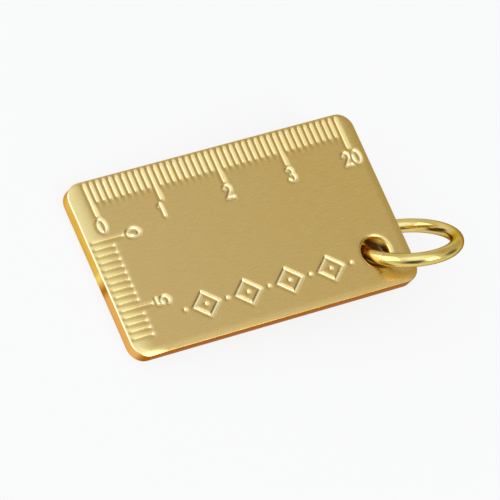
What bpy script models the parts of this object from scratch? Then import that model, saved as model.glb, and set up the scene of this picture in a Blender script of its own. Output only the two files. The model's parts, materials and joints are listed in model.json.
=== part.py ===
"""Brass ruler tag: a flat graduated plate with a wire jump ring through its corner hole.

Frame: the origin is the centre of the plate's underside, +X runs along the long scale, +Y points
towards the edge that carries it and +Z points up out of the graduated face. All sizes are in metres.
"""
import math

import bmesh
import bpy
from mathutils import Matrix, Vector

MM = 0.001

# Plate
PLATE_LENGTH = 45.3 * MM
PLATE_WIDTH = 25.35 * MM
PLATE_THICKNESS = 2.0 * MM
CORNER_RADIUS = 2.3 * MM
CROWN_WIDTH = 1.2 * MM
CROWN_DROP = 0.12 * MM
EDGE_ROUND = 0.18 * MM

# Corner hole, placed from the plate's right and front edges
HOLE_DIAMETER = 4.2 * MM
HOLE_FROM_RIGHT = 5.12 * MM
HOLE_FROM_FRONT = 5.23 * MM
HOLE_RIM_ROUND = 0.65 * MM

# Graduations: the long scale lies along the back edge and starts from the left, the short scale lies
# along the left edge and starts from the back; grooves reach from an inset to a length off their edge
TICK_PITCH = 1.0 * MM
MAJOR_EVERY = 10
GROOVE_WIDTH = 0.62 * MM
GROOVE_DEPTH = 0.25 * MM
LONG_SCALE_START = 2.86 * MM
LONG_SCALE_END_MARGIN = 2.3 * MM
LONG_SCALE_INSET = 0.45 * MM
LONG_SCALE_MINOR = 3.1 * MM
LONG_SCALE_MAJOR = 5.05 * MM
SHORT_SCALE_START = 8.73 * MM
SHORT_SCALE_END_MARGIN = 2.3 * MM
SHORT_SCALE_INSET = 0.5 * MM
SHORT_SCALE_MINOR = 3.5 * MM
SHORT_SCALE_MAJOR = 5.5 * MM

# Jump ring
RING_OUTER_DIAMETER = 15.05 * MM
WIRE_DIAMETER = 1.9 * MM
RING_SAG = 0.47 * MM
SEAM_GAP = 0.15 * MM
SEAM_ANGLE = math.radians(156)
CLEARANCE = 0.22 * MM

# Facets, search steps, tolerances and cutter overlap
CORNER_SEGMENTS = 10
CROWN_STEPS = 3
EDGE_SEGMENTS = 2
EDGE_ANGLE = math.radians(50)
HOLE_STEPS = 48
RIM_SEGMENTS = 4
RIM_ARC = math.radians(75)
RING_SEGMENTS = 72
GAP_SAMPLES = 180
LEAN_STEP = math.radians(0.25)
LEAN_LIMIT = math.radians(80)
WIRE_BEVEL_RESOLUTION = 4
COUNT_TOLERANCE = 0.001
MERGE_DISTANCE = 0.001 * MM
CUT_OVER = 0.5 * MM
GROOVE_OVER = 0.05 * MM

HOLE_RADIUS = HOLE_DIAMETER / 2
HOLE_X = PLATE_LENGTH / 2 - HOLE_FROM_RIGHT
HOLE_Y = -PLATE_WIDTH / 2 + HOLE_FROM_FRONT
WIRE_RADIUS = WIRE_DIAMETER / 2
RING_RADIUS = RING_OUTER_DIAMETER / 2 - WIRE_RADIUS
# The wire stands off the hole's centre, away from the plate's edge, by half of its free play.
WIRE_BACKSET = (HOLE_RADIUS - WIRE_RADIUS - CLEARANCE) / 2
RING_REACH = math.sqrt(RING_RADIUS ** 2 - RING_SAG ** 2) - WIRE_BACKSET


def clear_scene():
    """Remove every object of the open scene."""
    for old in list(bpy.data.objects):
        bpy.data.objects.remove(old, do_unlink=True)


def new_collection(name):
    collection = bpy.data.collections.new(name)
    bpy.context.scene.collection.children.link(collection)
    return collection


def brass(name, colour, roughness):
    """A brass material with the colour and polish given."""
    material = bpy.data.materials.new(name)
    material.use_nodes = True
    shader = material.node_tree.nodes["Principled BSDF"]
    shader.inputs["Base Color"].default_value = (*colour, 1.0)
    shader.inputs["Metallic"].default_value = 1.0
    shader.inputs["Roughness"].default_value = roughness
    return material


def add_object(name, data, collection):
    item = bpy.data.objects.new(name, data)
    collection.objects.link(item)
    return item


def mesh_object(name, bm, collection):
    """Turn a bmesh into a named object and free it."""
    mesh = bpy.data.meshes.new(name)
    bm.to_mesh(mesh)
    bm.free()
    return add_object(name, mesh, collection)


def as_cutter(item):
    """Keep a cutting shape out of renders and drawn as wire."""
    item.hide_render = True
    item.display_type = "WIRE"
    return item


def cut(target, cutter):
    modifier = target.modifiers.new(cutter.name, "BOOLEAN")
    modifier.operation = "DIFFERENCE"
    modifier.solver = "EXACT"
    modifier.object = cutter


def crown_height(inset):
    """Height of the top face above its rim at a distance in from the edge."""
    share = 1 - inset / CROWN_WIDTH
    return CROWN_DROP * (1 - share ** 2)


def make_plate(collection):
    """Sheet blank: round corners, a top face that rolls off at its rim, and softened edges."""
    rim_height = PLATE_THICKNESS - CROWN_DROP
    bm = bmesh.new()
    block = Matrix.Translation((0, 0, rim_height / 2)) @ Matrix.Diagonal(
        (PLATE_LENGTH, PLATE_WIDTH, rim_height, 1))
    bmesh.ops.create_cube(bm, size=1, matrix=block)
    uprights = [edge for edge in bm.edges if abs((edge.verts[0].co - edge.verts[1].co).z) > 0]
    bmesh.ops.bevel(bm, geom=uprights, offset=CORNER_RADIUS, offset_type="OFFSET",
                    segments=CORNER_SEGMENTS, profile=0.5, affect="EDGES", clamp_overlap=True)
    top = max(bm.faces, key=lambda face: face.calc_center_median().z)
    for step in range(CROWN_STEPS):
        inset = CROWN_WIDTH * step / CROWN_STEPS
        next_inset = CROWN_WIDTH * (step + 1) / CROWN_STEPS
        bmesh.ops.inset_region(bm, faces=[top], thickness=next_inset - inset, use_even_offset=True,
                               depth=crown_height(next_inset) - crown_height(inset))
    bottom = min(bm.faces, key=lambda face: face.calc_center_median().z)
    for face in bm.faces:
        face.smooth = face not in (top, bottom)
    plate = mesh_object("ruler_plate", bm, collection)
    soften = plate.modifiers.new("edge_round", "BEVEL")
    soften.width = EDGE_ROUND
    soften.segments = EDGE_SEGMENTS
    soften.limit_method = "ANGLE"
    soften.angle_limit = EDGE_ANGLE
    return plate


def hole_profile():
    """Half section of the hole's cutter, from the top of its axis down its outer side."""
    upper = []
    for step in range(RIM_SEGMENTS + 1):
        turn = RIM_ARC * (1 - step / RIM_SEGMENTS)
        out = HOLE_RADIUS + HOLE_RIM_ROUND * (1 - math.cos(turn))
        up = PLATE_THICKNESS / 2 - HOLE_RIM_ROUND * (1 - math.sin(turn))
        upper.append((out, up))
    widest, height = upper[0]
    rise = PLATE_THICKNESS / 2 + CUT_OVER / 2 - height
    mouth = (widest + rise * math.tan(RIM_ARC), height + rise)
    upper = [(0, mouth[1]), mouth] + upper
    lower = [(out, -up) for out, up in reversed(upper)]
    return upper + lower


def make_hole_cutter(collection):
    """Turned cutter for the corner hole, flared at both faces for its rounded rims."""
    bm = bmesh.new()
    points = [bm.verts.new((out, 0, up)) for out, up in hole_profile()]
    for first, second in zip(points, points[1:]):
        bm.edges.new((first, second))
    cutter = mesh_object("hole_cutter", bm, collection)
    cutter.location = (HOLE_X, HOLE_Y, PLATE_THICKNESS / 2)
    turn = cutter.modifiers.new("turn", "SCREW")
    turn.axis = "Z"
    turn.steps = HOLE_STEPS
    turn.render_steps = HOLE_STEPS
    turn.use_merge_vertices = True
    turn.merge_threshold = MERGE_DISTANCE
    return as_cutter(cutter)


def add_wedge(bm, outer, inner):
    """Three-sided bar, point down, that cuts one groove between two points."""
    along = inner - outer
    down = Vector((0, 0, -1))
    across = down.cross(along).normalized()
    height = GROOVE_DEPTH + GROOVE_OVER
    width = GROOVE_WIDTH * height / GROOVE_DEPTH
    # A three-sided prism of radius 1 is 1.5 high and the square root of 3 wide.
    columns = (across * width / math.sqrt(3), down * height / 1.5, along)
    place = Matrix(columns).transposed().to_4x4()
    middle = (outer + inner) / 2
    middle.z = PLATE_THICKNESS - GROOVE_DEPTH + height / 1.5
    place.translation = middle
    bmesh.ops.create_cone(bm, cap_ends=True, segments=3, radius1=1, radius2=1, depth=1, matrix=place)


def tick_count(span):
    return int(span / TICK_PITCH + COUNT_TOLERANCE) + 1


def make_groove_cutter(collection):
    """All tick marks of both scales, one bar each, that stop short of the plate's edges."""
    bm = bmesh.new()
    left = -PLATE_LENGTH / 2
    back = PLATE_WIDTH / 2
    for tick in range(tick_count(PLATE_LENGTH - LONG_SCALE_START - LONG_SCALE_END_MARGIN)):
        reach = LONG_SCALE_MINOR if tick % MAJOR_EVERY else LONG_SCALE_MAJOR
        x = left + LONG_SCALE_START + tick * TICK_PITCH
        add_wedge(bm, Vector((x, back - LONG_SCALE_INSET, 0)), Vector((x, back - reach, 0)))
    for tick in range(tick_count(PLATE_WIDTH - SHORT_SCALE_START - SHORT_SCALE_END_MARGIN)):
        reach = SHORT_SCALE_MINOR if tick % MAJOR_EVERY else SHORT_SCALE_MAJOR
        y = back - SHORT_SCALE_START - tick * TICK_PITCH
        add_wedge(bm, Vector((left + SHORT_SCALE_INSET, y, 0)), Vector((left + reach, y, 0)))
    return as_cutter(mesh_object("groove_cutter", bm, collection))


def ring_point(angle):
    """Point of the upright ring's centre line, from the hole's centre at half thickness."""
    return Vector((RING_REACH + RING_RADIUS * math.cos(angle), 0,
                   RING_RADIUS * math.sin(angle) - RING_SAG))


def rim_gap(lean):
    """Least gap between the hole's rounded wall and the half of the leaning ring that is near it."""
    turn = Matrix.Rotation(lean, 3, "X")
    gaps = []
    for step in range(GAP_SAMPLES + 1):
        point = turn @ ring_point(math.pi / 2 + math.pi * step / GAP_SAMPLES)
        inside = max(HOLE_RADIUS + HOLE_RIM_ROUND - math.hypot(point.x, point.y), 0)
        above = max(abs(point.z) - PLATE_THICKNESS / 2 + HOLE_RIM_ROUND, 0)
        gaps.append(math.hypot(inside, above) - HOLE_RIM_ROUND - WIRE_RADIUS)
    return min(gaps)


def ring_lean():
    """Lean at which the wire all but meets the hole's rims, where the ring comes to rest."""
    lean = 0
    while lean < LEAN_LIMIT and rim_gap(lean + LEAN_STEP) >= CLEARANCE:
        lean += LEAN_STEP
    return lean


def make_ring(collection):
    """Round wire bent to a circle, open by a hair at its butted ends, leaning in the hole."""
    half_seam = SEAM_GAP / RING_RADIUS / 2
    start = SEAM_ANGLE + half_seam
    sweep = 2 * math.pi - 2 * half_seam
    curve = bpy.data.curves.new("jump_ring", "CURVE")
    curve.dimensions = "3D"
    curve.bevel_depth = WIRE_RADIUS
    curve.bevel_resolution = WIRE_BEVEL_RESOLUTION
    curve.use_fill_caps = True
    wire = curve.splines.new("POLY")
    wire.points.add(RING_SEGMENTS)
    for index, point in enumerate(wire.points):
        point.co = (*ring_point(start + sweep * index / RING_SEGMENTS), 1)
    ring = add_object("jump_ring", curve, collection)
    ring.location = (HOLE_X, HOLE_Y, PLATE_THICKNESS / 2)
    ring.rotation_euler = (ring_lean(), 0, 0)
    return ring


def main():
    clear_scene()
    parts = new_collection("ruler_tag")
    cutters = new_collection("cutters")
    plate = make_plate(parts)
    cut(plate, make_hole_cutter(cutters))
    cut(plate, make_groove_cutter(cutters))
    plate.data.materials.append(brass("satin_brass", (0.52, 0.37, 0.13), 0.35))
    ring = make_ring(parts)
    ring.data.materials.append(brass("polished_brass", (0.63, 0.45, 0.14), 0.12))


main()
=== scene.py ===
"""Looks of the brass ruler tag: its stamped plate and polished jump ring, on a white studio floor.

Shapes are worked out in millimetres in the part's own frame, and scaled to metres as meshes are made.
"""
import json
import math

import bmesh
import bpy
import numpy as np
from mathutils import Matrix, Vector


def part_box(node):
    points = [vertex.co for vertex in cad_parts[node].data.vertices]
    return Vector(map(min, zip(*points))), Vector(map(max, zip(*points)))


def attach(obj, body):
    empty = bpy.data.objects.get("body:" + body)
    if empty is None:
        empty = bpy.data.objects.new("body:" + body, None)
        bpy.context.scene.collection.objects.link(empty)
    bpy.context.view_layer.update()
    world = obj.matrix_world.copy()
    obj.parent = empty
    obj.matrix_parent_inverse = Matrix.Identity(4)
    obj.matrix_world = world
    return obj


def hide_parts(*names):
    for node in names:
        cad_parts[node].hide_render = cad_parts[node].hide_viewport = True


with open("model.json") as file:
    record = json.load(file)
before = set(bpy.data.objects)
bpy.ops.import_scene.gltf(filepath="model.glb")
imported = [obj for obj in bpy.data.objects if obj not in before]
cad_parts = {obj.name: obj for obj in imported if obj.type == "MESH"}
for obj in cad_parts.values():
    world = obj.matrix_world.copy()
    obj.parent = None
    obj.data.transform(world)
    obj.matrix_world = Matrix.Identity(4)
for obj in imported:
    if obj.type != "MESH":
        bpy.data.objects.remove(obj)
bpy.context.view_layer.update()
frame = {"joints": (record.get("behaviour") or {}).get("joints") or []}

MM = 0.001

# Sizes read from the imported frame
plate_low, plate_high = (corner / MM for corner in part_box("ruler_plate"))
ring_low, ring_high = (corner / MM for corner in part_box("jump_ring"))
hinge = Vector(frame["joints"][0]["pos_m"]) / MM
HALF_LENGTH = (plate_high.x - plate_low.x) / 2
HALF_WIDTH = (plate_high.y - plate_low.y) / 2
THICKNESS = plate_high.z

# Plate blank
CORNER_RADIUS = 2.3
# How the top face rolls off at each edge: width of the roll, drop at the rim, radius of the rim itself
LEFT_RIM = (1.0, 0.0, 0.12)
RIGHT_RIM = (1.3, 0.12, 0.15)
FRONT_RIM = (1.1, 0.16, 0.05)
BACK_RIM = (0.5, 0.1, 0.1)
# Radius of the lower edge on the left, right, front and back
UNDER_ROUNDS = (0.14, 0.1, 0.06, 0.1)
# The left end also dips over a wider span: width and drop
LEFT_DIP = (3.0, 0.15)
# So does the front edge next to its left corner: width, drop, where from the left and over what half-length
CORNER_DIP = (1.0, 0.24, 2.4, 2.4)
HOLE_RADIUS = 2.1
HOLE_RIM_WIDTH = 0.65
HOLE_RIM_DROP = 0.45
HOLE_PATCH = 2.77

# Tick marks: first tick; depth, lip and bottom radius; how much wider the lip before each tick is; share of
# the depth at the outer end; how far from the edge the outer end and the minor and major inner ends are;
# depth and radius of the pit at the inner end, which runs out along the tick
TICK_PITCH = 1.0
MAJOR_EVERY = 10
LONG_TICKS = 41
LONG_START = 2.86
LONG_PRESS = (0.23, 0.18, 0.06)
LONG_SKEW = 1.0
LONG_SHALLOW = 1.0
LONG_ENDS = (0.75, 3.15, 5.1)
LONG_PIT = (0.0, 0.17)
SHORT_TICKS = 15
SHORT_START = 8.62
SHORT_PRESS = (0.13, 0.13, 0.06)
SHORT_SKEW = 1.4
SHORT_SHALLOW = 0.75
SHORT_ENDS = (0.65, 3.5, 5.3)
SHORT_PIT = (0.16, 0.17)
PIT_STRETCH = 3.0
OUTER_FADE = 0.7
# Share of the paler colour in the ticks (partly polish, partly painted highlight), and how far in rim radii the
# painted highlight reaches in from the left rim
TICK_POLISH_AND_HIGHLIGHT = 0.7
RIM_HIGHLIGHT_REACH = 1.5

# Pressed numerals and border
DIGIT_HALF_HEIGHT = 0.9
DIGIT_HALF_WIDTH = 0.55
STROKE_DEPTH = 0.18
STROKE_WIDTH = 0.24
STROKE_STEPS = 48
LONG_NUMERAL_Y = 6.62
SHORT_NUMERAL_X = 6.9
BORDER_X = 22.6
BORDER_Y = 20.7
BORDER_PITCH = 6.6
LOZENGES = 4
LOZENGE_HALF = (1.95, 1.7)
DOT_LENGTH = 0.1

# Where the left wall turns copper-toned, with a painted dark reflection there and a painted highlight further
# back
LEFT_WALL_TONE_Y = -2.2

# Jump ring
WIRE_RADIUS = 0.95
SEAM_ANGLE = 154
SEAM_GAP = 0.016
WIRE_END_ROUND = 0.03
RING_STEPS = 240
WIRE_STEPS = 40

# Floor
FLOOR_SIZE = 1200
FLOOR_GAP = 0.02
FLOOR_COLOUR = (0.85, 0.85, 0.85)
FLOOR_SHADE_COLOUR = (0.09, 0.04, 0.013)
FLOOR_WHITE = 0.955
FLOOR_OWN_WHITE = 0.88

# Shade on the floor under the plate's raised end
SHADE_X = (3.0, 27.0)
SHADE_Y = (-12.0, 12.6)
SHADE_EDGE = 4.5

# Room light: level all round, and zones that are brighter or darker
# (azimuth from +X towards +Y, elevation, half-angles of the core and of the whole zone, share by colour)
ROOM_LEVEL = 0.74
ROOM_ZONES = (
    (155, 80, 12, 42, (1.65, 1.88, 2.35)),
    (25, 30, 12, 40, (0.72, 0.66, 0.48)),
    (242, 33, 15, 25, (0.16, 0.16, 0.16)),
    (240, 10, 16, 27, (0.3, 0.3, 0.3)),
    (340, 20, 11, 22, (0.22, 0.22, 0.22)),
)
# Windows: azimuth, elevation, width, height, radiance by colour
WINDOW_DISTANCE = 0.6
WINDOWS = (
    ("window_left", 157, 25, 0.74, 0.5, (1.75, 1.83, 2.15)),
    ("window_front", 293, 46, 0.25, 0.42, (3.1, 2.95, 2.65)),
)

# Camera, as fitted to the photograph
CAMERA_AZIMUTH = -64.31
CAMERA_ELEVATION = 55.91
CAMERA_ROLL = 44.18
CAMERA_DISTANCE = 679.66
CAMERA_TARGET = (-0.45, -2.525, 2.0)
CAMERA_LENS = 370.26

# Mesh density
ARC_STEPS = 16
FLAT_LEFT = 8.8
FLAT_BACK = 8.2
FLAT_FRONT = 17.0
FLAT_MARGIN = 0.3
TICK_LINES = (0, 0.055, 0.13, 0.26, 0.5)
FINE_PITCH = 0.125
COARSE_PITCH = 0.5
LINE_GAP = 0.025
RIM_LOOPS = 16


def pressed(distance, depth, lip, bottom):
    """Depth of a pressed tick at a distance from its middle line: a rounded bottom and wide soft lips."""
    rounded = np.hypot(distance, bottom) - bottom
    return depth * np.exp(-rounded / lip)


def rim_frame(x, y):
    """Distance in from the plate's rounded outline, and the outward direction to it."""
    out_x = np.maximum(np.abs(x) - (HALF_LENGTH - CORNER_RADIUS), 0)
    out_y = np.maximum(np.abs(y) - (HALF_WIDTH - CORNER_RADIUS), 0)
    reach = np.hypot(out_x, out_y)
    safe = np.maximum(reach, 1e-9)
    return CORNER_RADIUS - reach, np.sign(x) * out_x / safe, np.sign(y) * out_y / safe


def side_shares(side_x, side_y):
    """How much the left, right, front and back sides each count at a point of the rim."""
    return np.stack([np.maximum(-side_x, 0), np.maximum(side_x, 0),
                     np.maximum(-side_y, 0), np.maximum(side_y, 0)]) ** 2


def rim_drops(x, y):
    """Drop of the top face in its wide roll-off and in the round of its rim, blended round the corners."""
    inset, side_x, side_y = rim_frame(x, y)
    shares = side_shares(side_x, side_y)
    width, drop, radius = np.tensordot(np.transpose([LEFT_RIM, RIGHT_RIM, FRONT_RIM, BACK_RIM]), shares, 1)
    near = np.clip(1 - inset / np.maximum(width, 1e-9), 0, 1)
    dip_width, dip_drop = LEFT_DIP
    dip = dip_drop * np.clip(1 - (x + HALF_LENGTH) / dip_width, 0, 1) ** 2
    corner_width, corner_drop, corner_from_left, corner_half = CORNER_DIP
    corner = np.clip(1 - np.abs(x + HALF_LENGTH - corner_from_left) / corner_half, 0, 1)
    corner = shares[2] * corner ** 2 * (3 - 2 * corner)
    dip += corner * corner_drop * np.clip(1 - inset / corner_width, 0, 1) ** 2
    radius = radius * (1 - 0.7 * corner)
    round_in = np.clip(radius - inset, 0, radius)
    return drop * near ** 2 + dip, radius - np.sqrt(radius ** 2 - round_in ** 2)


def tick_depth(across, along, start, count, press, skew, shallow, ends, pit):
    """Depth of a row of tick marks; across runs along the scale, along runs in from its edge."""
    outer, minor, major = ends
    index = np.clip(np.round((across - start) / TICK_PITCH), 0, count - 1)
    inner = np.where(index % MAJOR_EVERY == 0, major, minor)
    beyond = np.maximum(along - inner, 0) + OUTER_FADE * np.maximum(outer - along, 0)
    share = shallow + (1 - shallow) * np.clip((along - outer) / (minor - outer), 0, 1)
    aside = across - start - index * TICK_PITCH
    groove = share * pressed(np.hypot(np.where(aside < 0, aside / skew, aside), beyond), *press)
    past = np.where(along < inner, (along - inner) / PIT_STRETCH, along - inner)
    pit_depth, pit_radius = pit
    dot = pit_depth * np.exp(-(aside ** 2 + past ** 2) / pit_radius ** 2)
    return groove, dot


def arc(centre_x, centre_y, radius_x, radius_y, start, end):
    """Points of an elliptical arc, angles in degrees."""
    turns = np.radians(np.linspace(start, end, STROKE_STEPS + 1))
    return np.stack([centre_x + radius_x * np.cos(turns), centre_y + radius_y * np.sin(turns)], 1)


def digit_strokes(digit):
    """Centre lines of a numeral in a box from -1 to 1 each way, upright."""
    if digit == "0":
        return [arc(0, 0, 1, 1, 0, 360)]
    if digit == "1":
        return [np.array([[-0.55, 0.62], [0.1, 0.95], [0.1, -1.0]])]
    if digit == "2":
        hook = arc(0, 0.42, 0.85, 0.58, 165, -35)
        return [np.vstack([hook, [[-0.9, -1.0], [0.95, -1.0]]])]
    if digit == "3":
        return [arc(-0.05, 0.5, 0.8, 0.5, 150, -90), arc(-0.05, -0.48, 0.95, 0.52, 90, -150)]
    bowl = arc(-0.1, -0.36, 1.0, 0.64, 125, -140)
    return [np.vstack([[[0.8, 1.0], [-0.6, 1.0], [-0.7, 0.15]], bowl])]


def place_strokes(strokes, centre, scale, turn=0.0):
    """Numeral strokes scaled, turned and moved to their place on the plate."""
    cosine, sine = math.cos(turn), math.sin(turn)
    rotate = np.array([[cosine, sine], [-sine, cosine]])
    return [(stroke * scale) @ rotate + centre for stroke in strokes]


def numeral_strokes():
    """Every numeral of both scales: the long scale's stand upright, the short scale's face its edge."""
    size = np.array([DIGIT_HALF_WIDTH, DIGIT_HALF_HEIGHT])
    row = HALF_WIDTH - LONG_NUMERAL_Y
    labels = [("0", 2.95), ("1", 12.35), ("2", 22.8), ("3", 32.85), ("2", 41.95), ("0", 43.5)]
    strokes = []
    for digit, place in labels:
        strokes += place_strokes(digit_strokes(digit), (place - HALF_LENGTH, row), size)
    for digit, place in (("0", 8.6), ("5", 18.6)):
        centre = (SHORT_NUMERAL_X - HALF_LENGTH, HALF_WIDTH - place)
        strokes += place_strokes(digit_strokes(digit), centre, size, math.pi / 2)
    return strokes


def border_strokes():
    """Plain border in a row: lozenges with a dot in the middle of each and between them."""
    lozenge = np.array([[1, 0], [0, 1], [-1, 0], [0, -1], [1, 0]]) * LOZENGE_HALF
    dot = np.array([[-DOT_LENGTH / 2, 0], [DOT_LENGTH / 2, 0]])
    row = HALF_WIDTH - BORDER_Y
    first = BORDER_X - HALF_LENGTH - BORDER_PITCH * LOZENGES / 2
    strokes = []
    for step in range(2 * LOZENGES + 1):
        centre = (first + BORDER_PITCH * step / 2, row)
        strokes.append(dot + centre)
        if step % 2:
            strokes.append(lozenge + centre)
    return strokes


STROKES = numeral_strokes() + border_strokes()


def stroke_depth(x, y):
    """Depth of the pressed numerals and border."""
    nearest = np.full(x.shape, 9.0)
    margin = 1.0
    for stroke in STROKES:
        low, high = stroke.min(0) - margin, stroke.max(0) + margin
        near = (x > low[0]) & (x < high[0]) & (y > low[1]) & (y < high[1])
        points = np.stack([x[near], y[near]], 1)
        best = np.full(len(points), 9.0)
        for start, end in zip(stroke, stroke[1:]):
            run = end - start
            share = np.clip((points - start) @ run / (run @ run), 0, 1)
            gap = points - start - share[:, None] * run
            best = np.minimum(best, np.hypot(gap[:, 0], gap[:, 1]))
        nearest[near] = np.minimum(nearest[near], best)
    return STROKE_DEPTH * np.exp(-(nearest / STROKE_WIDTH) ** 2)


def mark_depths(x, y):
    """Depths of the ticks, of the pits at their ends and of the strokes, from the flat of the top face."""
    from_left = x + HALF_LENGTH
    from_back = HALF_WIDTH - y
    long_scale = tick_depth(from_left, from_back, LONG_START, LONG_TICKS, LONG_PRESS, LONG_SKEW,
                            LONG_SHALLOW, LONG_ENDS, LONG_PIT)
    short_scale = tick_depth(from_back, from_left, SHORT_START, SHORT_TICKS, SHORT_PRESS, SHORT_SKEW,
                             SHORT_SHALLOW, SHORT_ENDS, SHORT_PIT)
    ticks, pits = np.maximum(long_scale, short_scale)
    return ticks, pits, stroke_depth(x, y)


def top_height(x, y):
    """Height of the top face, rolled off at its edges and pressed with its marks."""
    roll, rim = rim_drops(x, y)
    return THICKNESS - roll - rim - np.max(mark_depths(x, y), axis=0)


def with_fill(fixed, lines, fine_spans):
    """Sorted grid lines: the fixed ones, others that are no near doubles, and more where detail is fine."""
    chosen = np.array(fixed)
    for line in lines:
        if abs(line) < max(fixed) and np.abs(chosen - line).min() > LINE_GAP:
            chosen = np.append(chosen, line)
    chosen.sort()
    filled = [chosen[0]]
    for start, end in zip(chosen, chosen[1:]):
        middle = (start + end) / 2
        fine = any(low < middle < high for low, high in fine_spans)
        parts = math.ceil((end - start) / (FINE_PITCH if fine else COARSE_PITCH))
        filled += [start + (end - start) * part / parts for part in range(1, parts + 1)]
    return np.array(filled)


def grid_lines():
    """Lines along X and Y of the plate's inner rectangle, gathered round the tick marks."""
    inner_x = HALF_LENGTH - CORNER_RADIUS
    inner_y = HALF_WIDTH - CORNER_RADIUS
    fixed_x = [-inner_x, inner_x, hinge.x - HOLE_PATCH, hinge.x + HOLE_PATCH]
    fixed_y = [-inner_y, inner_y, hinge.y - HOLE_PATCH, hinge.y + HOLE_PATCH]
    x_lines, y_lines = [], []
    steps = [-step for step in TICK_LINES[:0:-1]] + list(TICK_LINES)
    for tick in range(LONG_TICKS):
        x_lines += [tick * TICK_PITCH + LONG_START - HALF_LENGTH + step for step in steps]
    for tick in range(SHORT_TICKS):
        y_lines += [HALF_WIDTH - SHORT_START - tick * TICK_PITCH - step for step in steps]
    for reach in LONG_ENDS[1:]:
        y_lines += [HALF_WIDTH - reach - step for step in TICK_LINES]
    for reach in SHORT_ENDS[1:]:
        x_lines += [reach - HALF_LENGTH + step for step in steps]
    spans_x = [(stroke[:, 0].min() - 0.4, stroke[:, 0].max() + 0.4) for stroke in STROKES]
    spans_y = [(stroke[:, 1].min() - 0.4, stroke[:, 1].max() + 0.4) for stroke in STROKES]
    return with_fill(fixed_x, x_lines, spans_x), with_fill(fixed_y, y_lines, spans_y)


class Patches:
    """Collects rectangular patches of points as vertices and quads."""

    def __init__(self):
        self.points = []
        self.faces = []
        self.count = 0

    def add(self, x, y, keep=None):
        rows, columns = x.shape
        index = self.count + np.arange(rows * columns).reshape(rows, columns)
        quads = np.stack([index[:-1, :-1], index[:-1, 1:], index[1:, 1:], index[1:, :-1]], -1)
        if keep is not None:
            quads = quads[keep]
        self.points.append(np.stack([x.ravel(), y.ravel()], 1))
        self.faces.append(quads.reshape(-1, 4))
        self.count += rows * columns


def plate_patches():
    """The top face in plan: inner rectangle, four side strips and four round corners, less the hole's square."""
    x_lines, y_lines = grid_lines()
    insets = CORNER_RADIUS * np.linspace(0, 1, RIM_LOOPS + 1) ** 2
    patches = Patches()
    grid_x, grid_y = np.meshgrid(x_lines, y_lines)
    middle_x = (grid_x[:-1, :-1] + grid_x[1:, 1:]) / 2
    middle_y = (grid_y[:-1, :-1] + grid_y[1:, 1:]) / 2
    hole = (np.abs(middle_x - hinge.x) < HOLE_PATCH) & (np.abs(middle_y - hinge.y) < HOLE_PATCH)
    flat = in_flat(middle_x, middle_y)
    patches.add(grid_x, grid_y, ~(hole | flat))
    for side in (-1, 1):
        patches.add(*np.meshgrid(x_lines, side * (HALF_WIDTH - insets)))
        patches.add(*np.meshgrid(side * (HALF_LENGTH - insets), y_lines))
        for end in (-1, 1):
            turns = np.linspace(0, math.pi / 2, ARC_STEPS + 1)
            spread, radius = np.meshgrid(turns, CORNER_RADIUS - insets)
            corner_x = HALF_LENGTH - CORNER_RADIUS + radius * np.cos(spread)
            corner_y = HALF_WIDTH - CORNER_RADIUS + radius * np.sin(spread)
            patches.add(side * corner_x, end * corner_y)
    return patches


def in_flat(x, y):
    """Whether a point lies in the unmarked middle of the top face, which is one flat face of the mesh."""
    from_left = x + HALF_LENGTH
    from_back = HALF_WIDTH - y
    return ((from_left > FLAT_LEFT) & (x < HALF_LENGTH - CORNER_RADIUS - FLAT_MARGIN)
            & (from_back > FLAT_BACK) & (from_back < FLAT_FRONT))


def boundary_loops(bm):
    """Open edges of the mesh: those round the hole, the flat middle and the outline."""
    hole, flat, outline = [], [], []
    for edge in bm.edges:
        if edge.is_boundary:
            middle = (edge.verts[0].co + edge.verts[1].co) / 2
            if max(abs(middle.x - hinge.x), abs(middle.y - hinge.y)) < HOLE_PATCH + 0.01:
                hole.append(edge)
            elif rim_frame(middle.x, middle.y)[0] > CORNER_RADIUS - 0.01:
                flat.append(edge)
            else:
                outline.append(edge)
    return hole, flat, outline


def extend(bm, edges, move, material):
    """Grow a strip of faces from a loop of edges; move gives each new point from the old one."""
    grown = bmesh.ops.extrude_edge_only(bm, edges=edges)["geom"]
    for item in grown:
        if isinstance(item, bmesh.types.BMVert):
            item.co = move(item.co)
        elif isinstance(item, bmesh.types.BMFace):
            item.material_index = material
    return [item for item in grown if isinstance(item, bmesh.types.BMEdge) and item.is_boundary]


def hole_section():
    """Radius and height down the hole: rolled top rim, wall, rolled bottom rim."""
    turns = [math.radians(turn) for turn in (0, 9, 18, 27, 37, 47, 57, 68, 79, 90)]
    upper = [(HOLE_RADIUS + HOLE_RIM_WIDTH * (1 - math.sin(turn)),
              THICKNESS - HOLE_RIM_DROP * (1 - math.cos(turn))) for turn in turns]
    return upper + [(radius, THICKNESS - height) for radius, height in reversed(upper)]


def to_hole(radius, height):
    def move(point):
        away = Vector((point.x - hinge.x, point.y - hinge.y)).normalized() * radius
        return Vector((hinge.x + away.x, hinge.y + away.y, height))
    return move


def under_frame(point):
    """Distance in from the outline, outward direction and radius of the lower edge at a point."""
    inset, side_x, side_y = rim_frame(np.float64(point.x), np.float64(point.y))
    return inset, side_x, side_y, np.dot(UNDER_ROUNDS, side_shares(side_x, side_y))


def to_wall(share):
    """Down the plate's wall, from its rim to where the lower edge starts to turn in."""
    def move(point):
        radius = under_frame(point)[3]
        return Vector((point.x, point.y, point.z + (radius - point.z) * share))
    return move


def to_under(turn):
    """Round the plate's lower edge, by a turn in degrees."""
    def move(point):
        inset, side_x, side_y, radius = under_frame(point)
        step = radius * (1 - math.cos(math.radians(turn))) - inset
        height = radius * (1 - math.sin(math.radians(turn)))
        return Vector((point.x - side_x * step, point.y - side_y * step, height))
    return move


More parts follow.
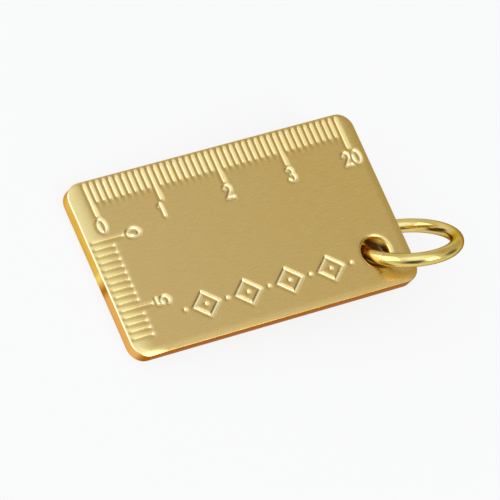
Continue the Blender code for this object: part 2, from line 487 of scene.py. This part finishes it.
def make_plate():
    """Closed mesh of the stamped plate."""
    patches = plate_patches()
    plan = np.vstack(patches.points)
    height = top_height(plan[:, 0], plan[:, 1])
    mesh = bpy.data.meshes.new("stamped_plate")
    mesh.from_pydata(np.column_stack([plan, height]).tolist(), [], np.vstack(patches.faces).tolist())
    bm = bmesh.new()
    bm.from_mesh(mesh)
    bmesh.ops.remove_doubles(bm, verts=bm.verts, dist=0.001)
    bmesh.ops.recalc_face_normals(bm, faces=bm.faces)
    hole, flat, outline = boundary_loops(bm)
    bmesh.ops.edgeloop_fill(bm, edges=flat)
    # The front rim's round takes the edge brass, and so its painted brown shade.
    for face in bm.faces:
        middle = face.calc_center_median()
        inset, _, side_y = rim_frame(np.float64(middle.x), np.float64(middle.y))
        if side_y < -0.7 and inset < FRONT_RIM[2]:
            face.material_index = 1
    for radius, level in hole_section():
        on_top = level > THICKNESS - HOLE_RIM_DROP / 2
        hole = extend(bm, hole, to_hole(radius, level), 0 if on_top else 1)
    for share in (0.25, 0.5, 1.0):
        outline = extend(bm, outline, to_wall(share), 1)
    for turn in (22, 45, 68, 90):
        outline = extend(bm, outline, to_under(turn), 1)
    bmesh.ops.triangle_fill(bm, use_beauty=True, edges=hole + outline)
    bmesh.ops.recalc_face_normals(bm, faces=bm.faces)
    bm.to_mesh(mesh)
    bm.free()
    add_polish_and_highlight(mesh)
    return finish_mesh("stamped_plate", mesh)


def add_polish_and_highlight(mesh):
    """Attribute for a paler colour in the strokes, the ticks, their pits and the left rim: partly the punch's
    polish, partly a painted highlight.
    """
    places = np.zeros(len(mesh.vertices) * 3)
    mesh.vertices.foreach_get("co", places)
    x, y, z = places.reshape(-1, 3).T
    ticks, pits, strokes = mark_depths(x, y)
    polish_and_highlight = np.maximum(pits / SHORT_PIT[0], strokes / STROKE_DEPTH)
    polish_and_highlight = np.maximum(polish_and_highlight, TICK_POLISH_AND_HIGHLIGHT * ticks / LONG_PRESS[0])
    inset, side_x, _ = rim_frame(x, y)
    rim = np.maximum(-side_x, 0) * np.clip(RIM_HIGHLIGHT_REACH - inset / LEFT_RIM[2], 0, 1)
    polish_and_highlight = np.maximum(polish_and_highlight, rim) * (z > THICKNESS / 2)
    mesh.attributes.new("polish_and_highlight", "FLOAT", "POINT").data.foreach_set("value", polish_and_highlight.astype(np.float32))


def finish_mesh(name, mesh):
    """Smooth-shaded object in metres from a mesh in millimetres."""
    mesh.transform(Matrix.Scale(MM, 4))
    mesh.shade_smooth()
    item = bpy.data.objects.new(name, mesh)
    bpy.context.scene.collection.objects.link(item)
    return item




def ring_sections():
    """Angle along the ring and wire radius of each cross-section, from one butted end to the other."""
    radius = (ring_high.x - ring_low.x) / 2 - WIRE_RADIUS
    start = math.radians(SEAM_ANGLE) + SEAM_GAP / radius / 2
    sweep = 2 * math.pi - SEAM_GAP / radius
    turns = np.radians([0, 30, 60, 90])
    along = WIRE_END_ROUND * (1 - np.cos(turns)) / radius
    thick = WIRE_RADIUS - WIRE_END_ROUND * (1 - np.sin(turns))
    middle = np.linspace(along[-1], sweep - along[-1], RING_STEPS)[1:-1]
    angles = np.concatenate([along, middle, sweep - along[::-1]]) + start
    wire = np.concatenate([thick, np.full(len(middle), WIRE_RADIUS), thick[::-1]])
    return radius, angles, wire


def make_ring():
    """Wire bent to a circle in a plane that leans about X, with softened butted ends."""
    centre = np.array((ring_low + ring_high) / 2)
    lean = math.atan2(ring_high.y - ring_low.y - 2 * WIRE_RADIUS, ring_high.z - ring_low.z - 2 * WIRE_RADIUS)
    side = np.array([1.0, 0.0, 0.0])
    up = np.array([0.0, -math.sin(lean), math.cos(lean)])
    normal = np.array([0.0, math.cos(lean), math.sin(lean)])
    radius, angles, wire = ring_sections()
    around = np.linspace(0, 2 * math.pi, WIRE_STEPS, endpoint=False)
    outward = np.outer(np.cos(angles), side) + np.outer(np.sin(angles), up)
    reach = radius + np.outer(wire, np.cos(around))
    points = centre + reach[..., None] * outward[:, None, :]
    points += np.outer(wire, np.sin(around))[..., None] * normal
    index = np.arange(points.shape[0] * WIRE_STEPS).reshape(-1, WIRE_STEPS)
    ahead = np.roll(index, -1, axis=1)
    quads = np.stack([index[:-1], index[1:], ahead[1:], ahead[:-1]], -1).reshape(-1, 4).tolist()
    caps = [index[0].tolist(), index[-1][::-1].tolist()]
    mesh = bpy.data.meshes.new("polished_ring")
    mesh.from_pydata(points.reshape(-1, 3).tolist(), [], quads + caps)
    return finish_mesh("polished_ring", mesh)


class Shader:
    """The node tree of a new material, or of the world, with short calls to add and link its nodes."""

    def __init__(self, owner):
        if isinstance(owner, str):
            owner = bpy.data.materials.new(owner)
            owner.use_nodes = True
        self.material = owner
        self.tree = owner.node_tree
        self.surface = self.tree.nodes.get("Principled BSDF")

    def add(self, kind, settings=None, **sockets):
        """New node; settings are its properties, sockets its inputs, as values or links."""
        node = self.tree.nodes.new(kind)
        for key, value in (settings or {}).items():
            setattr(node, key, value)
        for key, value in sockets.items():
            self.set(node, key.replace("_", " "), value)
        return node

    def set(self, node, socket, value):
        if isinstance(value, bpy.types.NodeSocket):
            self.tree.links.new(value, node.inputs[socket])
        else:
            node.inputs[socket].default_value = value

    def math(self, operation, first, second=0.0):
        node = self.add("ShaderNodeMath", {"operation": operation})
        self.set(node, 0, first)
        self.set(node, 1, second)
        return node.outputs["Value"]


def object_noise(shader, scale, detail, roughness=0.5):
    """Noise in the object's own metres, with a scale for each axis."""
    place = shader.add("ShaderNodeTexCoord").outputs["Object"]
    mapped = shader.add("ShaderNodeMapping", Vector=place, Scale=scale).outputs["Vector"]
    noise = shader.add("ShaderNodeTexNoise", Vector=mapped, Scale=1.0, Detail=detail, Roughness=roughness)
    return noise.outputs["Fac"]


def ramp(shader, value, low, high, start=0.3, end=0.7):
    """Number that runs smoothly from low to high as a value runs from start to end."""
    node = shader.add("ShaderNodeMapRange", {"interpolation_type": "SMOOTHSTEP"}, Value=value)
    for socket, number in zip(("From Min", "From Max", "To Min", "To Max"), (start, end, low, high)):
        node.inputs[socket].default_value = number
    return node.outputs["Result"]


def blend(shader, share, first, second, kind="MIX"):
    """Colour between two others, or between the first and their product."""
    node = shader.add("ShaderNodeMix", {"data_type": "RGBA", "blend_type": kind})
    shader.tree.links.new(share, node.inputs["Factor"])
    for socket, colour in ((node.inputs[6], first), (node.inputs[7], second)):
        if isinstance(colour, bpy.types.NodeSocket):
            shader.tree.links.new(colour, socket)
        else:
            socket.default_value = (*colour, 1.0)
    return node.outputs[2]


def satin_brass():
    """Brass brushed along the plate's length, with painted light: paler towards the left end, a painted
    highlight along the left edge, and paler punch marks that are partly polish, partly painted highlight.
    """
    shader = Shader("satin_brass_brushed")
    surface = shader.surface
    streak = object_noise(shader, (500, 8000, 3000), 4, 0.6)
    grain = object_noise(shader, (1500, 7000, 4000), 2)
    cloud = object_noise(shader, (120, 160, 120), 3)
    colour = blend(shader, ramp(shader, streak, 0, 1), (0.715, 0.503, 0.161), (0.755, 0.54, 0.183))
    colour = blend(shader, ramp(shader, cloud, 0, 0.3), colour, (0.72, 0.53, 0.2))
    place = shader.add("ShaderNodeTexCoord").outputs["Object"]
    along = shader.add("ShaderNodeSeparateXYZ", Vector=place).outputs["X"]
    # Painted light: the colour turns paler towards the left end, where the light comes from.
    painted_left_light = ramp(shader, along, 1, 0, -HALF_LENGTH * MM, HALF_LENGTH * MM)
    colour = blend(shader, painted_left_light, colour, (0.76, 0.55, 0.215))
    # Painted highlight: a pale band along the left edge.
    painted_left_highlight = ramp(shader, along, 1, 0, (0.8 - HALF_LENGTH) * MM, (4.0 - HALF_LENGTH) * MM)
    colour = blend(shader, painted_left_highlight, colour, (0.87, 0.69, 0.275))
    # Paler where the punch polished the metal, and a painted highlight in the marks and on the left rim.
    polish_and_highlight = shader.add("ShaderNodeAttribute", {"attribute_name": "polish_and_highlight"}).outputs["Fac"]
    colour = blend(shader, ramp(shader, polish_and_highlight, 0, 1, 0.3, 0.8), colour, (1.0, 0.85, 0.48))
    shader.set(surface, "Base Color", colour)
    surface.inputs["Metallic"].default_value = 1.0
    surface.inputs["Anisotropic"].default_value = 0.5
    surface.inputs["Specular Tint"].default_value = (0.95, 0.75, 0.45, 1.0)
    surface.inputs["Coat Weight"].default_value = 0.3
    surface.inputs["Coat IOR"].default_value = 1.8
    surface.inputs["Coat Roughness"].default_value = 0.2
    shader.set(surface, "Roughness", ramp(shader, streak, 0.24, 0.32))
    tangent = shader.add("ShaderNodeTangent", {"direction_type": "UV_MAP", "uv_map": "brushing"})
    shader.set(surface, "Tangent", tangent.outputs["Tangent"])
    height = shader.math("ADD", streak, grain)
    bump = shader.add("ShaderNodeBump", Strength=0.12, Distance=0.000008, Height=height)
    shader.set(surface, "Normal", bump.outputs["Normal"])
    return shader.material


def edge_brass():
    """Brass of the sheared edges: gold, copper-toned on the front part of the left wall, with a painted
    highlight and a painted dark reflection there, and painted shade in brown on faces turned to the front.
    """
    shader = Shader("satin_brass_edge")
    surface = shader.surface
    coordinates = shader.add("ShaderNodeTexCoord").outputs
    place = shader.add("ShaderNodeSeparateXYZ", Vector=coordinates["Object"]).outputs
    facing = shader.add("ShaderNodeSeparateXYZ", Vector=coordinates["Normal"]).outputs
    cloud = object_noise(shader, (250, 250, 600), 3)
    colour = blend(shader, ramp(shader, cloud, 0, 1), (0.82, 0.5, 0.09), (0.92, 0.59, 0.12))
    left = ramp(shader, place["X"], 1, 0, (1 - HALF_LENGTH) * MM, (3 - HALF_LENGTH) * MM)
    copper = ramp(shader, place["Y"], 1, 0, (LEFT_WALL_TONE_Y - 0.3) * MM, (LEFT_WALL_TONE_Y + 0.6) * MM)
    colour = blend(shader, shader.math("MULTIPLY", left, copper), colour, (0.86, 0.485, 0.13))
    # A painted highlight further back on the left wall, and a painted dark reflection where it turns
    # copper-toned.
    for middle, half, tone in ((LEFT_WALL_TONE_Y + 1.8, 0.9, (1.0, 0.8, 0.2)), (LEFT_WALL_TONE_Y, 1.3, (0.5, 0.2, 0.03))):
        away = shader.math("SUBTRACT", place["Y"], middle * MM)
        near = ramp(shader, shader.math("ABSOLUTE", away), 1, 0, 0, half * MM)
        colour = blend(shader, shader.math("MULTIPLY", left, near), colour, tone)
    # Painted shade: faces turned to the front are brown.
    front = ramp(shader, facing["Y"], 1, 0, -0.95, -0.55)
    colour = blend(shader, front, colour, (0.43, 0.18, 0.03))
    shader.set(surface, "Base Color", colour)
    surface.inputs["Metallic"].default_value = 1.0
    surface.inputs["Specular Tint"].default_value = (0.7, 0.45, 0.35, 1.0)
    shader.set(surface, "Roughness", ramp(shader, cloud, 0.18, 0.26))
    return shader.material


def polished_brass():
    """Polished wire with faint drawing marks."""
    shader = Shader("polished_brass_wire")
    surface = shader.surface
    cloud = object_noise(shader, (500, 500, 500), 4)
    colour = blend(shader, ramp(shader, cloud, 0, 1), (0.72, 0.55, 0.17), (0.80, 0.63, 0.22))
    shader.set(surface, "Base Color", colour)
    surface.inputs["Metallic"].default_value = 1.0
    surface.inputs["Specular Tint"].default_value = (0.3, 0.15, 0.05, 1.0)
    shader.set(surface, "Roughness", ramp(shader, cloud, 0.15, 0.2))
    return shader.material


def add_brushing_map(item):
    """UV map whose U runs across the brushing, for the stretched highlights."""
    mesh = item.data
    places = np.zeros(len(mesh.vertices) * 3)
    mesh.vertices.foreach_get("co", places)
    corners = np.zeros(len(mesh.loops), dtype=np.int32)
    mesh.loops.foreach_get("vertex_index", corners)
    plan = places.reshape(-1, 3)[corners] / (2 * HALF_LENGTH * MM) + 0.5
    layer = mesh.uv_layers.new(name="brushing")
    layer.data.foreach_set("uv", np.column_stack([plan[:, 1], 1 - plan[:, 0]]).ravel())


def make_floor():
    """White floor through the plate's left lower edge and the ring's lowest point."""
    slope = ring_low.z / ((ring_low.x + ring_high.x) / 2 + HALF_LENGTH)
    bpy.ops.mesh.primitive_plane_add(size=FLOOR_SIZE * MM)
    floor = bpy.context.object
    floor.name = "floor"
    floor.rotation_euler = (0, -math.atan(slope), 0)
    floor.location = (0, 0, slope * HALF_LENGTH * MM - FLOOR_GAP * MM)
    floor.data.materials.append(floor_white())


def floor_white():
    """White paper that shows its own white to the camera and in the metal, with a weakened shadow."""
    shader = Shader("floor_white")
    place = shader.add("ShaderNodeTexCoord").outputs["Object"]
    axes = shader.add("ShaderNodeSeparateXYZ", Vector=place).outputs
    shade = None
    for axis, (low, high) in (("X", SHADE_X), ("Y", SHADE_Y)):
        middle, half = (low + high) / 2 * MM, (high - low) / 2 * MM
        away = shader.math("SUBTRACT", axes[axis], middle)
        away = shader.math("ABSOLUTE", away)
        side = ramp(shader, away, 1, 0, half - SHADE_EDGE * MM, half)
        shade = side if shade is None else shader.math("MULTIPLY", shade, side)
    shader.set(shader.surface, "Base Color", blend(shader, shade, FLOOR_COLOUR, FLOOR_SHADE_COLOUR))
    shader.surface.inputs["Roughness"].default_value = 0.9
    shader.surface.inputs["Specular IOR Level"].default_value = 0.0
    rays = shader.add("ShaderNodeLightPath").outputs
    seen = shader.math("ADD", rays["Is Camera Ray"], rays["Is Glossy Ray"])
    seen = shader.math("ADD", seen, rays["Is Transmission Ray"])
    lit = shader.math("MULTIPLY", shader.math("SUBTRACT", 1.0, shade), FLOOR_OWN_WHITE)
    white = shader.add("ShaderNodeEmission", Color=(1, 1, 1, 1), Strength=FLOOR_WHITE)
    mix = shader.add("ShaderNodeMixShader", Fac=shader.math("MULTIPLY", seen, lit))
    shader.tree.links.new(shader.surface.outputs["BSDF"], mix.inputs[1])
    shader.tree.links.new(white.outputs["Emission"], mix.inputs[2])
    clear = shader.add("ShaderNodeBsdfTransparent")
    below = shader.add("ShaderNodeNewGeometry").outputs["Backfacing"]
    sides = shader.add("ShaderNodeMixShader", Fac=below)
    shader.tree.links.new(mix.outputs["Shader"], sides.inputs[1])
    shader.tree.links.new(clear.outputs["BSDF"], sides.inputs[2])
    shader.tree.links.new(sides.outputs["Shader"], shader.tree.nodes["Material Output"].inputs["Surface"])
    return shader.material


def direction(azimuth, elevation):
    """Unit vector from two angles in degrees."""
    turn, rise = math.radians(azimuth), math.radians(elevation)
    return Vector((math.cos(rise) * math.cos(turn), math.cos(rise) * math.sin(turn), math.sin(rise)))


def add_window(name, azimuth, elevation, width, height, radiance):
    """Area lamp of the radiance given, facing the object."""
    lamp = bpy.data.lights.new(name, "AREA")
    lamp.shape = "RECTANGLE"
    lamp.color = radiance
    lamp.size, lamp.size_y = width, height
    lamp.energy = math.pi * width * height
    item = bpy.data.objects.new(name, lamp)
    item.location = direction(azimuth, elevation) * WINDOW_DISTANCE
    item.rotation_euler = (-item.location).to_track_quat("-Z", "Y").to_euler()
    bpy.context.scene.collection.objects.link(item)


def make_world():
    """Even grey room with a bright ceiling and darker corners."""
    world = bpy.data.worlds.new("studio")
    world.use_nodes = True
    shader = Shader(world)
    view = shader.add("ShaderNodeTexCoord").outputs["Generated"]
    light = (ROOM_LEVEL, ROOM_LEVEL, ROOM_LEVEL)
    for azimuth, elevation, core, whole, share in ROOM_ZONES:
        towards = shader.add("ShaderNodeVectorMath", {"operation": "DOT_PRODUCT"})
        shader.tree.links.new(view, towards.inputs[0])
        towards.inputs[1].default_value = direction(azimuth, elevation)
        span = (math.cos(math.radians(whole)), math.cos(math.radians(core)))
        zone = ramp(shader, towards.outputs["Value"], 0, 1, *span)
        light = blend(shader, zone, light, share, "MULTIPLY")
    shader.set(shader.tree.nodes["Background"], "Color", light)
    bpy.context.scene.world = world


def make_camera():
    camera = bpy.data.cameras.new("camera")
    camera.lens = CAMERA_LENS
    camera.sensor_width = 36
    camera.sensor_fit = "HORIZONTAL"
    camera.clip_start = 0.01
    camera.clip_end = 10
    item = bpy.data.objects.new("camera", camera)
    turn = (Matrix.Rotation(math.radians(CAMERA_AZIMUTH), 4, "Z")
            @ Matrix.Rotation(math.radians(90 - CAMERA_ELEVATION), 4, "X")
            @ Matrix.Rotation(math.radians(CAMERA_ROLL), 4, "Z"))
    back = turn.to_3x3() @ Vector((0, 0, 1))
    place = (Vector(CAMERA_TARGET) + back * CAMERA_DISTANCE) * MM
    item.matrix_world = Matrix.Translation(place) @ turn
    bpy.context.scene.collection.objects.link(item)
    bpy.context.scene.camera = item


plate = make_plate()
add_brushing_map(plate)
plate.data.materials.append(satin_brass())
plate.data.materials.append(edge_brass())
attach(plate, "plate")
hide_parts("ruler_plate")

ring = make_ring()
ring.data.materials.append(polished_brass())
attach(ring, "ring")
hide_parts("jump_ring")

make_floor()
for window in WINDOWS:
    add_window(*window)
make_world()
make_camera()
bpy.context.scene.view_settings.view_transform = "Standard"
